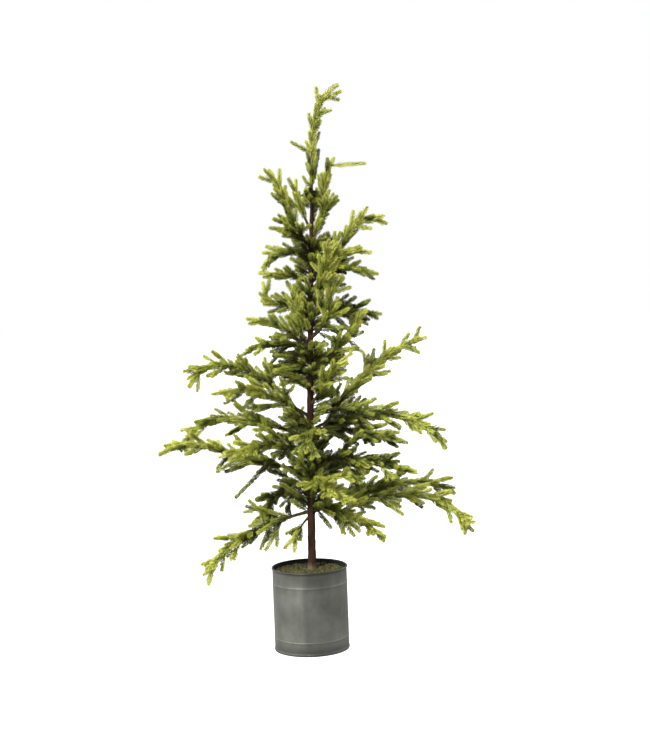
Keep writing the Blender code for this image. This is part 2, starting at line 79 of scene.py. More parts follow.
# Steps of the foot: how far out from the wall, and height.
FOOT_STEPS = ((-0.0040, 0.0), (-0.0012, 0.0), (0.00054, 0.0005), (0.0009, 0.0014), (0.0009, 0.0040),
              (0.00045, 0.0050), (0.0, 0.0060))
WALL_STEPS = 8
BAND_PROUD = 0.0005
BAND_HALF = 0.0024
BAND_HEIGHTS = (0.028, 0.144)
BAND_STEPS = 12
BAND_ROUND = 1.5
RIM_BEAD = 0.0018
RIM_FOOT = 1.1
RIM_WALL_STEPS = 6
RIM_ARC = (-65.0, 185.0, 17)
INNER_STEPS = (2.0, 3.0, 6.0)
# Soft dents: strength, waves round the pot, how they turn with height, and where they start.
DENTS = ((1.0, 2.0, 0.0, 1.1), (0.7, 3.0, 21.0, 0.0), (0.6, 5.0, -34.0, 2.0))
POT_DENT = 0.000225
SEAM_TURN = 261.0
SEAM_STEP = 0.0005
SEAM_FADE = 26.0
SEAM_FOOT = 0.004

# Zinc
ZINC_METAL = 0.6
ZINC_CLOUDS = (16.0, 6.0)
ZINC_GRAIN = (120.0, 3.0)
ZINC_STREAKS = (42.0, 5.0, (1.0, 1.0, 0.16))
ZINC_MIX = (0.62, 0.25, 0.13)
ZINC_TONES = ((0.36, (0.088, 0.090, 0.076)), (0.50, (0.119, 0.122, 0.103)), (0.64, (0.157, 0.161, 0.140)))
ZINC_ROUGH = ((0.42,) * 3, (0.56,) * 3)
ZINC_BUMP = (0.0003, 0.5)
# Painted shade on the lap beside the seam, on the front only.
LAP_SHADE = 0.36
LAP_WAVE = 0.026
# Offsets from the seam where the lap's shade starts and is full, at its edge and at its far side.
LAP_EDGE = (0.004, 0.021)
LAP_END = (0.110, 0.010)
LAP_FRONT = (0.02, -0.02)
# Painted shadow under the rim, painted shade on its bead against its highlight, and darker towards the foot:
# heights where it starts and is full, and its strength.
ZINC_SHADES = ((0.142, 0.170, 0.22), (0.1735, 0.1755, 0.45), (0.028, 0.004, 0.42))
# Painted shade on the pot's inside wall.
INSIDE_SHADE = 0.86
INSIDE_LIMIT = 0.3

# Fill and moss
FILL_TOP = 0.157
FILL_GRAIN = (90.0, 6.0)
FILL_TONES = ((0.14, 0.13, 0.12), (0.24, 0.23, 0.21))
GAP = 0.0003
MOSS_CROWN = 0.0115
MOSS_EDGE = 0.016
MOSS_EDGE_SHARE = 0.62
MOSS_HOLE = 0.008
MOSS_LUMP = 0.0030
MOSS_LUMPS = 55.0
MOSS_SLICE = 3.0
MOSS_FRACTAL = (1.0, 2.0, 4)
SWELL = 0.002
SWELL_RADIUS = 0.015
SWELL_FADE = 0.008
MOSS_SIDES = 120
MOSS_RINGS = 22
MOSS_SEED = 3
MOSS_STRANDS = 9000
MOSS_STRAND = 0.0055
STRAND_SPOTS = (0.02, 0.985)
STRAND_SINK = 0.001
STRAND_LEAN = 0.75
STRAND_FLAT = (1.0, 1.0, 0.4)
STRAND_RISE = (0.0, 0.0, 0.8)
STRAND_SIZES = (0.5, 1.2)
STRAND_CLEAR = 0.0005
STRAND_HOLE = 0.010
PATCH_SCALE = 60.0
PATCH_SLICE = 9.0
PATCH_SPREAD = 0.18
PATCH_LIMITS = (-0.12, 0.22)
MOSS_GRAIN = (140.0, 5.0)
MOSS_ROUGH = 0.95
MOSS_TONES = (("bed", (0.024, 0.021, 0.008), (0.070, 0.062, 0.020)),
              ("brown", (0.044, 0.034, 0.014), (0.105, 0.084, 0.034)),
              ("olive", (0.044, 0.042, 0.013), (0.112, 0.106, 0.032)),
              ("green", (0.070, 0.074, 0.020), (0.155, 0.158, 0.044)))

# Trunk
TRUNK_FOOT = FILL_TOP + GAP
TRUNK_TOP = 0.965
TRUNK_LEAN = 0.0355
TRUNK_BOW = 0.004
TRUNK_RADII = (0.0030, 0.0088)
TRUNK_TAPER = 0.6
FLARE_PROUD = 0.0065
FLARE_FADE = 0.009
TRUNK_SIDES = 40
TRUNK_STEP = 0.0022
FOOT_HEIGHTS = (0.0, 0.0006, 0.0012, 0.0018)
WRAP_PITCH = 0.021
WRAP_PROUD = 0.00045
WRAP_SINK = 0.3
BARK_RELIEF = 0.0007
BARK_GRAIN = 260.0
BARK_STRETCH = 5.0
LEAST_RELIEF = 0.35
RIDGE_FRACTAL = (0.9, 2.2, 4)
SOCKET_PROUD = 0.0016
SOCKET_REACH = 0.0045
PAPER_HEIGHTS = (0.190, 0.170)
PAPER_TONES = ((0.070, 0.048, 0.028), (0.160, 0.120, 0.076))
TRUNK_TONES = ((0.010, 0.004, 0.002), (0.050, 0.0215, 0.0135))
TWIG_TONES = ((0.022, 0.017, 0.006), (0.062, 0.052, 0.020))
TRUNK_STREAKS = 120.0
TWIG_STREAKS = 160.0
BARK_STREAKS = (6.0, (1.0, 1.0, 0.22))
BARK_FIBRES = (5.0, (1.0, 1.0, 0.3))
FIBRE_SCALE = 4.0

# Boughs
LINE_STEP = 0.004
LATE_BEND = 1.7
STEEP = 0.2
LIMB_RADIUS = 0.0040
LIMB_TIP_RADIUS = 0.0012
LIMB_TAPER = 1.3
LIMB_SIDES = 9
LIMB_RELIEF = 0.13
LIMB_GRAIN = 320.0
LIMB_ROOT = 0.004
LONG_LIMB = 0.2
SHORT_THICKNESS = 0.72

# Side shoots, by the part's rule
PAIR_SPACING = 0.058
PAIR_TURN = 90.0
SHOOT_ANGLES = (48.0, 28.0)
SHOOT_FLAT = 0.85
SHOOT_TAPER = 0.62
SHOOT_SHORTEST = 0.030
PLACE_JITTER = 0.15
REACH_JITTER = 0.15
TURN_JITTER = 20.0
SEED_TURN = 40.0
TIP_CLEAR = 0.6
GOLDEN_TURN = 137.5
TRIDENT_SHARES = (0.84, 0.88)
TRIDENT_TURN = 0.3
TRIDENT_LENGTH = 0.46
TRIDENT_ANGLE = 30.0

# Finer sprays on the shoots
TWIG_RADIUS = 0.0011
TWIG_TIP_RADIUS = 0.0006
SHOOT_RADIUS = 0.00143
STEM_BARE = 0.04
SHOOT_BARE = 0.10
SPRAY_BARE = 0.04
TUFT_BARE = 0.16
TWIG_SIDES = 5
TWIG_POINTS = 9
SHOOT_CURL = 0.22
SPRAY_SPACING = 0.038
SPRAY_SPAN = (0.16, 1.0)
SPRAY_ANGLE = 38.0
SPRAY_SWAY = 5.0
SPRAY_SHIFT = 0.04
SPRAY_SHARE = 0.80
SPRAY_SIZES = (0.85, 1.15)
SPRAY_LIMITS = (0.024, 0.046)
TRUNK_CLEAR = 0.004
COLLAR_SPACING = 0.009
COLLAR_END = 0.84
COLLAR_REACHES = (0.056, 0.018)
COLLAR_ANGLES = (34.0, 18.0)
COLLAR_SWAY = 8.0
COLLAR_PLACES = (0.1, 0.9)
COLLAR_SIZES = (0.75, 1.15)
# Bands of the trunk: lowest and highest place and longest spray, then heading, spread and rise.
TUFT_BANDS = ((0.290, 0.440, 0.072), (0.550, 0.650, 0.042), (0.672, 0.765, 0.046), (0.785, 0.865, 0.044),
              (0.935, 0.965, 0.026))
SIDE_TUFTS = ((0.490, 0.556, 0.056, 4, 45, 25), (0.575, 0.650, 0.088, 186, 38, 4),
              (0.868, 0.902, 0.075, 4, 40, 66))
TUFT_SEED = 21
TUFT_SPACING = 0.0018
SIDE_TUFT_SPACING = 0.0045
TUFT_PLACES = (0.2, 0.8)
TUFT_RISE = 38.0
TUFT_SWAY = 18.0
TUFT_SIZES = (0.55, 1.0)
TUFT_OUT = 0.18

# Needles
NEEDLE_SEED = 7
NEEDLE_PITCH = 0.00028
NEEDLE_LENGTH = 0.0104
NEEDLE_WIDTH = 0.0017
NEEDLE_BELLY = 0.58
NEEDLE_FOLD = 0.30
NEEDLE_SPIN = 2.4
NEEDLE_ANGLES = (38.0, 34.0)
NEEDLE_SWAY = 6.0
NEEDLE_TURN_SWAY = 12.0
NEEDLE_SCATTER = 0.9
NEEDLE_SIZES = (0.85, 1.12)
# Needles and the trunk's sprays start at this share of the radius of what bears them.
ROOT_SHARE = 0.8
LEAST_NEEDLES = 6
FOOT_SHARE = 0.15
FOOT_FULLNESS = 0.55
TIP_THINNING = 0.25
TUFT_NEEDLES = 16
TUFT_ANGLE = 4.0
NEEDLE_GLOSS = 0.10
NEEDLE_ROUGH = 0.62
NEEDLE_DRIFT = (90.0, 2.0)
NEEDLE_SHADES = (0.86, 1.14)
BARK_GLOSS = 0.12
LEADER_FULLNESS = 1.25
STEM_FULLNESS = 1.2
SPRAY_FULLNESS = 0.92
COLLAR_FULLNESS = 0.95
HIGH_SLIMMING = 0.14
SLIM_START = 0.5
SLIM_SPAN = 0.4

# Which tone a needle takes: level 0 is the deepest; painted shade behind and inside, painted light in front
# and on top
BASE_LEVEL = 0.2
OUT_LIGHT = 3.0
SPRAY_SPREAD = 1.05
BACK_SHADE = 0.7
BACK_DEPTH = 0.12
FRONT_LIMIT = -0.6
MIDDLE_SHADE = 1.1
MIDDLE_HEIGHT = 0.43
MIDDLE_SPAN = 0.06
MIDDLE_REACH = 0.26
STEM_TIP_LIGHT = 2.2
TIP_LIGHT = 2.0
TIP_MIDDLE = 0.45
TOP_LIGHT = 1.0
STEM_OUT = 0.5
SPRAY_LIFT = 0.08
PAINTED_LIGHT_SHIFT = 0.15
PAINTED_SHADE_SHIFT = 0.36

# Needle tones, from the shaded inside to the new tips
TONES = (
    ("deep", (0.048, 0.056, 0.011)),
    ("dark", (0.178, 0.205, 0.040)),
    ("mid", (0.328, 0.362, 0.069)),
    ("light", (0.414, 0.440, 0.080)),
    ("tip", (0.478, 0.496, 0.100)),
)

Bough = namedtuple("Bough", "name height heading length rise middle end turn bare side seed")

# Long boughs: a bare limb, then sprays to its tip.
LONG_BOUGHS = tuple(Bough(*row) for row in (
    ("low_left", 0.294, 190, 0.266, -10, -25, -80, 0, 0.12, 0.074, 11),
    ("low_right", 0.316, 12, 0.316, 11, 6, -36, 0, 0.15, 0.080, 12),
    ("low_right_front", 0.296, 350, 0.360, 19, 2, -86, 4, 0.13, 0.084, 13),
    ("low_back_left", 0.352, 125, 0.205, 0, -26, -64, 0, 0.16, 0.088, 16),
    ("low_back_right", 0.352, 62, 0.268, 18, 4, -26, 0, 0.16, 0.092, 17),
    ("long_left", 0.386, 181, 0.318, 6, 22, -30, 0, 0.13, 0.078, 18),
    ("mid_front_left", 0.424, 225, 0.196, 22, 6, -24, -8, 0.16, 0.084, 19),
    ("mid_front_right", 0.408, 320, 0.226, 8, -4, -14, 8, 0.13, 0.092, 20),
    ("mid_left", 0.452, 168, 0.306, 26, 6, -84, 0, 0.15, 0.078, 22),
    ("high_left", 0.480, 189, 0.314, 64, 29, -68, 0, 0.28, 0.066, 24),
    ("high_right", 0.436, 11, 0.340, 62, 42, 10, 0, 0.18, 0.066, 25),
    ("drooping_right", 0.512, 351, 0.300, 2, -10, -66, 0, 0.15, 0.078, 26),
))

# Short boughs: sprays almost from the trunk, with a bare foot.
SHORT_BOUGHS = tuple(Bough(*row) for row in (
    ("sprig_low", 0.282, 214, 0.056, -34, -50, -62, 0, 0.26, 0.030, 41),
    ("low_front_right", 0.302, 318, 0.168, 4, -8, -52, 0, 0.07, 0.086, 14),
    ("low_front", 0.352, 276, 0.224, 24, 2, -30, 14, 0.12, 0.092, 15),
    ("sprig_front", 0.470, 268, 0.150, 30, -10, -60, 0, 0.12, 0.084, 42),
    ("mid_back", 0.425, 98, 0.252, 24, 8, -20, 0, 0.12, 0.090, 21),
    ("mid_back_right", 0.470, 44, 0.212, 18, 0, -14, 0, 0.12, 0.088, 23),
    ("mid_right_front", 0.472, 343, 0.186, 2, -10, -14, 0, 0.10, 0.078, 64),
    ("mid_left_upper", 0.502, 214, 0.212, 32, 24, -32, 0, 0.12, 0.078, 62),
    ("sprig_back_left", 0.568, 150, 0.112, 40, 6, -20, 0, 0.12, 0.040, 27),
    ("sprig_front_rising", 0.528, 310, 0.112, 42, 52, 30, 0, 0.14, 0.056, 44),
    ("sprig_back_right", 0.585, 62, 0.158, 34, 14, -8, 0, 0.12, 0.072, 45),
    ("sprig_right_rising", 0.606, 346, 0.150, 26, 44, 74, 0, 0.16, 0.060, 46),
    ("sprig_left_long", 0.632, 202, 0.146, 66, 30, -10, 0, 0.14, 0.056, 47),
    ("sprig_left_rising", 0.648, 210, 0.130, 62, 82, 88, 0, 0.14, 0.034, 43),
    ("sprig_front_mid", 0.668, 320, 0.165, 28, 80, 88, 0, 0.16, 0.062, 65),
    ("sprig_left_mid", 0.642, 164, 0.132, 22, 0, -34, 0, 0.14, 0.052, 63),
    ("sprig_back", 0.672, 98, 0.144, 38, 20, 0, 0, 0.14, 0.072, 48),
    ("sprig_right_level", 0.694, 8, 0.138, 34, 4, -28, 10, 0.14, 0.066, 49),
    ("sprig_right_down", 0.722, 42, 0.148, 14, -14, -58, 0, 0.14, 0.062, 50),
    ("sprig_left_hook", 0.722, 180, 0.110, 30, 4, 112, 0, 0.16, 0.040, 51),
    ("sprig_front_high", 0.742, 304, 0.128, 40, 64, 60, 0, 0.18, 0.054, 52),
    ("sprig_left_level", 0.780, 206, 0.092, 32, 12, -10, 0, 0.16, 0.040, 53),
    ("upper_right", 0.786, 14, 0.134, 42, 2, -44, 0, 0.14, 0.050, 28),
    ("sprig_left_curl", 0.824, 168, 0.106, 52, 2, -84, 0, 0.16, 0.036, 54),
    ("sprig_front_right_high", 0.796, 322, 0.138, 44, 20, -12, 0, 0.16, 0.056, 60),
    ("sprig_back_high", 0.820, 84, 0.116, 30, 12, 0, 0, 0.16, 0.046, 55),
    ("sprig_right_high", 0.804, 355, 0.194, 28, 60, -44, 0, 0.14, 0.050, 56),
    ("sprig_top_left", 0.866, 182, 0.168, 42, 76, 44, 0, 0.14, 0.046, 57),
    ("sprig_top_left_low", 0.858, 234, 0.110, 34, 20, -12, 0, 0.16, 0.048, 58),
    ("sprig_top_right", 0.885, 352, 0.150, 56, 86, 66, 0, 0.14, 0.046, 59),
    ("sprig_top_back", 0.898, 165, 0.088, 64, 70, 82, 0, 0.18, 0.040, 61),
))
LEADER = Bough("leader", TRUNK_TOP, 0, 0.240, 90, 84, 30, 0, 0.04, 0.032, 70)
BOUGHS = LONG_BOUGHS + SHORT_BOUGHS + (LEADER,)

# Single shoots that stand out by themselves, by bough: the share along it, heading, rise and length.
FORKS = {
    "leader": ((0.06, 40, 74, 0.080), (0.36, 180, 30, 0.046), (0.62, 0, 52, 0.034),
               (0.77, 180, 84, 0.036), (0.82, 0, 26, 0.042)),
    "sprig_top_right": ((0.97, 0, 2, 0.072), (0.26, 0, 50, 0.050)),
    "sprig_top_left": ((0.78, 60, 84, 0.036), (0.52, 180, 45, 0.040)),
    "sprig_left_curl": ((0.22, 180, 68, 0.044),),
    "sprig_right_high": ((0.62, 20, 80, 0.036), (0.66, 350, -8, 0.034)),
    "sprig_right_down": ((0.48, 0, 30, 0.044),),
    "sprig_right_rising": ((0.62, 0, -43, 0.045), (0.34, 340, 68, 0.060)),
    "sprig_right_level": ((0.32, 340, -40, 0.052),),
    "sprig_front_mid": ((0.13, 350, 4, 0.060),),
    "sprig_front_high": ((0.30, 0, 5, 0.052),),
    "sprig_left_mid": ((0.22, 200, -12, 0.052), (0.30, 190, -42, 0.050)),
    "sprig_back_left": ((0.05, 190, 5, 0.046),),
    "sprig_front_rising": ((0.80, 0, 40, 0.056), (0.06, 350, 32, 0.046)),
    "high_right": ((0.60, 30, 78, 0.040), (0.58, 340, 18, 0.034), (0.71, 30, 84, 0.034),
                   (0.70, 350, 3, 0.034)),
    "drooping_right": ((0.72, 0, 20, 0.038),),
    "mid_front_right": ((0.50, 350, 8, 0.064), (0.42, 345, -24, 0.062), (0.66, 350, 0, 0.054)),
    "low_right": ((0.76, 20, 42, 0.034),),
    "low_right_front": ((0.38, 340, -34, 0.064), (0.55, 340, -38, 0.040), (0.80, 340, -78, 0.036)),
    "low_front_right": ((0.45, 320, -38, 0.056), (0.30, 330, -60, 0.052), (0.12, 345, -32, 0.060),
                        (0.03, 310, -38, 0.055)),
    "mid_left": ((0.56, 180, 35, 0.036), (0.72, 190, -45, 0.036)),
    "long_left": ((0.44, 200, -25, 0.060),),
    "mid_front_left": ((0.34, 195, -42, 0.145),),
    "low_left": ((0.14, 195, 18, 0.046), (0.30, 200, -62, 0.054), (0.36, 180, 80, 0.042),
                 (0.40, 190, -42, 0.050), (0.52, 180, 6, 0.036), (0.74, 200, -80, 0.036)),
}
# More of them, which only the dressed tree has.
FINE_FORKS = {
    "mid_right_front": ((0.06, 340, -18, 0.050), (0.16, 350, -34, 0.042), (0.52, 0, -26, 0.046),
                        (0.64, 10, 4, 0.046)),
    "mid_back_right": ((0.12, 10, -20, 0.048),),
    "sprig_front_mid": ((0.10, 330, -24, 0.046), (0.20, 345, -2, 0.042), (0.66, 0, 14, 0.040)),
    "sprig_right_level": ((0.10, 345, -34, 0.050),),
    "sprig_right_down": ((0.40, 350, 40, 0.040),),
    "mid_left_upper": ((0.62, 190, -44, 0.050), (0.76, 185, -30, 0.052), (0.90, 190, -4, 0.044)),
    "mid_front_left": ((0.72, 185, -40, 0.050), (0.86, 180, -14, 0.056)),
    "long_left": ((0.52, 180, -46, 0.040),),
    "mid_front_right": ((0.40, 350, -44, 0.044),),
    "low_right": ((0.24, 340, -50, 0.044),),
    "low_back_left": ((0.62, 170, -54, 0.046),),
    "high_left": ((0.76, 170, 34, 0.032), (0.88, 200, 4, 0.034), (0.90, 170, -84, 0.034)),
    "high_right": ((0.86, 0, -26, 0.034), (0.93, 20, 62, 0.030)),
    "leader": ((0.52, 0, 60, 0.030), (0.70, 340, 10, 0.030), (0.88, 20, -16, 0.028)),
    "sprig_front_rising": ((0.55, 0, 8, 0.046), (0.70, 10, 30, 0.046)),
    "sprig_top_right": ((0.60, 180, 70, 0.034),),
    "sprig_top_left": ((0.86, 180, 20, 0.034),),
}
# Boughs whose needles are painted a little lighter, as lit, and boughs painted a little darker, as shaded,
# than the rest.
PAINTED_LIGHT_BOUGHS = ("low_front", "low_front_right", "sprig_front_rising", "sprig_front_mid", "sprig_front_high",
                 "low_left", "sprig_low", "mid_front_left", "sprig_left_long", "long_left", "mid_left",
                 "mid_left_upper", "high_left")
PAINTED_SHADE_BOUGHS = ("mid_front_right", "mid_right_front", "low_back_right", "sprig_front", "sprig_right_level",
                 "sprig_right_down")

# A twig's line is an array of points. Its out value is 0 by the trunk and 1 at a bough's tip.
Twig = namedtuple("Twig", "line radius tip_radius bare needle out stem")


def unit(vectors):
    """Vectors of length one, for one vector or an array of them."""
    return vectors / np.linalg.norm(vectors, axis=-1, keepdims=True)


def between(ends, share):
    """The value at a share of the way from one end to the other."""
    return ends[0] + (ends[1] - ends[0]) * share


def ring_turns(count):
    """Evenly spread turns round a ring."""
    return 2.0 * math.pi * np.arange(count) / count


def add_mesh(name, points, faces, material, smooth=True):
    """A mesh object of the part from arrays of points and of equal-sided faces."""
    sides = faces.shape[1]
    mesh = bpy.data.meshes.new(name)
    mesh.vertices.add(len(points))
    mesh.vertices.foreach_set("co", points.astype(np.float32).ravel())
    mesh.loops.add(faces.size)
    mesh.loops.foreach_set("vertex_index", faces.astype(np.int32).ravel())
    mesh.polygons.add(len(faces))
    mesh.polygons.foreach_set("loop_start", np.arange(0, faces.size, sides, dtype=np.int32))
    mesh.update(calc_edges=True)
    mesh.validate()
    if smooth:
        mesh.shade_smooth()
    mesh.materials.append(material)
    thing = bpy.data.objects.new(name, mesh)
    bpy.context.collection.objects.link(thing)
    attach(thing, BODY)
    return thing


def tube_faces(rings, sides):
    """Quads that join rings of points one after the other."""
    ring = np.arange(rings - 1)[:, None] * sides
    side = np.arange(sides)
    after = (side + 1) % sides
    quads = np.stack((ring + side, ring + after, ring + sides + after, ring + sides + side), axis=-1)
    return quads.reshape(-1, 4)


def side_pair(ways):
    """Two directions square to each way: level to its side, and over it."""
    level = np.cross(ways, (0.0, 0.0, 1.0))
    steep = np.linalg.norm(level, axis=-1) < STEEP
    level[steep] = np.cross(ways[steep], (0.0, 1.0, 0.0))
    level = unit(level)
    return level, unit(np.cross(level, ways))


def sample(line, shares):
    """Points at shares of a line's steps, and the directions there."""
    place = np.clip(shares, 0.0, 1.0) * (len(line) - 1)
    index = np.minimum(place.astype(int), len(line) - 2)
    step = line[index + 1] - line[index]
    return line[index] + step * (place - index)[:, None], unit(step)


def line_length(line):
    """The length of a line of points."""
    return float(np.linalg.norm(np.diff(line, axis=0), axis=1).sum())


def trunk_share(height):
    """How far up the trunk a height lies, from 0 to 1."""
    return np.clip((height - TRUNK_FOOT) / (TRUNK_TOP - TRUNK_FOOT), 0.0, 1.0)


def trunk_centre(height):
    """The trunk's centre line: a slight lean to +X with a faint bow."""
    return TRUNK_LEAN * height - TRUNK_BOW * np.sin(math.pi * trunk_share(height))


def trunk_radius(height):
    """The trunk's radius, tapering to its tip and flared at its foot."""
    stem = between(TRUNK_RADII, (1.0 - trunk_share(height)) ** TRUNK_TAPER)
    return stem + FLARE_PROUD * np.exp(-(height - TRUNK_FOOT) / FLARE_FADE)


def heading_way(heading, rise=0.0):
    """The direction of a heading, level or rising by an angle."""
    turn, pitch = math.radians(heading), math.radians(rise)
    return np.array((math.cos(turn) * math.cos(pitch), math.sin(turn) * math.cos(pitch), math.sin(pitch)))


def bough_way(bough, share):
    """The direction of a bough at a share of its length; its outer half bends late."""
    if share < 0.5:
        rise = between((bough.rise, bough.middle), 2.0 * share)
    else:
        rise = between((bough.middle, bough.end), (2.0 * share - 1.0) ** LATE_BEND)
    return heading_way(bough.heading + bough.turn * share, rise)


def bough_line(bough):
    """Points along a bough's centre line, a small step apart, from the trunk's surface."""
    point = np.array((trunk_centre(bough.height), 0.0, bough.height))
    if bough is LEADER:
        point = point + (0.0, 0.0, GAP)
    else:
        point = point + heading_way(bough.heading) * (trunk_radius(bough.height) + 2.0 * GAP)
    count = max(2, round(bough.length / LINE_STEP))
    line = [point]
    for index in range(count):
        point = point + bough_way(bough, (index + 0.5) / count) * (bough.length / count)
        line.append(point)
    return np.array(line)


def leaning(way, turn, angle):
    """A way leant off an axis by an angle, towards a turn round it."""
    level, over = side_pair(way[None, :])
    lean = unit(level[0] * math.cos(turn) + over[0] * math.sin(turn) * SHOOT_FLAT)
    return unit(way * math.cos(angle) + lean * math.sin(angle))


def curling(point, way, towards, length, curl):
    """A shoot's line that starts along its way and curls a little towards another way."""
    line = [point]
    steps = TWIG_POINTS - 1
    for index in range(steps):
        share = (index + 0.5) / steps
        point = point + unit(way * (1.0 - curl * share) + towards * curl * share) * (length / steps)
        line.append(point)
    return np.array(line)


def at(line, share):
    """The point and direction at one share of a line."""
    points, ways = sample(line, np.array([share]))
    return points[0], ways[0]


def clears_trunk(line):
    """Whether a twig's line keeps off the trunk."""
    heights = line[:, 2]
    off = np.hypot(line[:, 0] - trunk_centre(heights), line[:, 1])
    beside = heights < TRUNK_TOP
    return not np.any(off[beside][2:] < trunk_radius(heights[beside][2:]) + TRUNK_CLEAR)


def side_shoots(bough, line):
    """A bough's shoots by the part's rule, with their places and whether they stand alone."""
    rng = random.Random(bough.seed)
    bare = bough.bare
    shoots = []
    for share, heading, rise, length in FORKS.get(bough.name, ()) + FINE_FORKS.get(bough.name, ()):
        point, way = at(line, share)
        shoots.append((curling(point, heading_way(heading, rise), way, length, 0.0), share, True))
    if bough is LEADER:
        return shoots
    count = max(1, round(line_length(line) * (1.0 - bare) / PAIR_SPACING))
    for pair in range(count):
        share = (pair + 0.5 + rng.uniform(-PLACE_JITTER, PLACE_JITTER)) / (count + TIP_CLEAR)
        place = between((bare, 1.0), share)
        point, way = at(line, place)
        angle = math.radians(between(SHOOT_ANGLES, share))
        for side in range(2):
            turn = math.radians(PAIR_TURN * pair + 180.0 * side + SEED_TURN * bough.seed
                                + rng.uniform(-TURN_JITTER, TURN_JITTER))
            reach = bough.side * (1.0 - SHOOT_TAPER * share)
            reach = max(SHOOT_SHORTEST, reach * rng.uniform(1.0 - REACH_JITTER, 1.0 + REACH_JITTER))
            shoot = curling(point, leaning(way, turn, angle), way, reach, SHOOT_CURL)
            shoots.append((shoot, place, False))
    for side, share in enumerate(TRIDENT_SHARES):
        place = between((bare, 1.0), share)
        point, way = at(line, place)
        out = leaning(way, TRIDENT_TURN + math.pi * side, math.radians(TRIDENT_ANGLE))
        reach = max(SHOOT_SHORTEST, bough.side * TRIDENT_LENGTH)
        shoots.append((curling(point, out, way, reach, SHOOT_CURL), place, False))
    return [shoot for shoot in shoots if clears_trunk(shoot[0])]


def sprays_on(shoot, rng):
    """The finer sprays of a long shoot: pairs that turn about, almost as long as what is left of it."""
    length = line_length(shoot)
    sprays = []
    for pair in range(int(length / SPRAY_SPACING)):
        share = between(SPRAY_SPAN, (pair + 0.5) * SPRAY_SPACING / length)
        point, way = at(shoot, share + rng.uniform(-SPRAY_SHIFT, SPRAY_SHIFT))
        for side in range(2):
            turn = math.radians(PAIR_TURN * pair + 180.0 * side + rng.uniform(-TURN_JITTER, TURN_JITTER))
            reach = np.clip(length * (1.0 - share) * SPRAY_SHARE * rng.uniform(*SPRAY_SIZES), *SPRAY_LIMITS)
            angle = math.radians(SPRAY_ANGLE + rng.uniform(-SPRAY_SWAY, SPRAY_SWAY))
            spray = curling(point, leaning(way, turn, angle), way, reach, SHOOT_CURL)
            if clears_trunk(spray):
                sprays.append(spray)
    return sprays


def collar_sprays(bough, line, rng):
    """Short sprays close along the inner part of a bough's stem, in a spiral of their own."""
    length = line_length(line)
    count = int(length * (COLLAR_END - bough.bare) / COLLAR_SPACING)
    sprays = []
    for index in range(count):
        share = between((bough.bare, COLLAR_END), (index + rng.uniform(*COLLAR_PLACES)) / count)
        point, way = at(line, share)
        turn = math.radians(GOLDEN_TURN * index + rng.uniform(-TURN_JITTER, TURN_JITTER))
        reach = min(between(COLLAR_REACHES, share / COLLAR_END), bough.side) * rng.uniform(*COLLAR_SIZES)
        angle = between(COLLAR_ANGLES, share / COLLAR_END) + rng.uniform(-COLLAR_SWAY, COLLAR_SWAY)
        spray = curling(point, leaning(way, turn, math.radians(angle)), way, reach, SHOOT_CURL)
        if clears_trunk(spray):
            sprays.append((spray, share))
    return sprays


def fine_twig(line, needle, out):
    """A twig of the finest kind."""
    return Twig(line, TWIG_RADIUS, TWIG_TIP_RADIUS, SPRAY_BARE, needle, out, False)


def grow(bough):
    """A bough's stem line and all its twigs."""
    rng = np.random.default_rng(bough.seed)
    line = bough_line(bough)
    # Painted light on the lit boughs, painted shade on the shaded ones.
    light_and_shade_shift = PAINTED_LIGHT_SHIFT * (bough.name in PAINTED_LIGHT_BOUGHS) - PAINTED_SHADE_SHIFT * (bough.name in PAINTED_SHADE_BOUGHS)
    slim = 1.0 - HIGH_SLIMMING * min(1.0, max(0.0, (bough.height - SLIM_START) / SLIM_SPAN))
    fullness = LEADER_FULLNESS if bough is LEADER else STEM_FULLNESS * slim
    twigs = [Twig(line, limb_radius(bough, 0.0), LIMB_TIP_RADIUS, bough.bare + STEM_BARE, fullness,
                  STEM_OUT + light_and_shade_shift, True)]
    for shoot, place, alone in side_shoots(bough, line):
        twigs.append(Twig(shoot, SHOOT_RADIUS, TWIG_TIP_RADIUS, SHOOT_BARE, slim, place + light_and_shade_shift, False))
        for spray in () if alone else sprays_on(shoot, rng):
            twigs.append(fine_twig(spray, SPRAY_FULLNESS * slim, place + light_and_shade_shift + SPRAY_LIFT))
    for spray, place in collar_sprays(bough, line, rng):
        twigs.append(fine_twig(spray, COLLAR_FULLNESS * slim, place + light_and_shade_shift))
    return line, twigs


def trunk_spray(rng, height, heading, rise, longest):
    """One short spray straight on the trunk."""
    out = heading_way(heading)
    way = heading_way(heading, rise + rng.uniform(-TUFT_SWAY, TUFT_SWAY))
    point = np.array((trunk_centre(height), 0.0, height)) + out * trunk_radius(height) * ROOT_SHARE
    spray = curling(point, way, out, longest * rng.uniform(*TUFT_SIZES), SHOOT_CURL)
    return Twig(spray, SHOOT_RADIUS, TWIG_TIP_RADIUS, TUFT_BARE, 1.0, TUFT_OUT, False)


def trunk_sprays():
    """Short rising sprays on the trunk: all round in some bands, and to one side in others."""
    rng = np.random.default_rng(TUFT_SEED)
    twigs = []
    for low, high, longest in TUFT_BANDS:
        for index in range(int((high - low) / TUFT_SPACING)):
            height = low + TUFT_SPACING * (index + rng.uniform(*TUFT_PLACES))
            heading = GOLDEN_TURN * index + rng.uniform(-TURN_JITTER, TURN_JITTER)
            twigs.append(trunk_spray(rng, height, heading, TUFT_RISE, longest))
    for low, high, longest, heading, spread, rise in SIDE_TUFTS:
        for index in range(int((high - low) / SIDE_TUFT_SPACING)):
            height = low + SIDE_TUFT_SPACING * (index + rng.uniform(*TUFT_PLACES))
            twigs.append(trunk_spray(rng, height, heading + rng.uniform(-spread, spread), rise, longest))
    return twigs


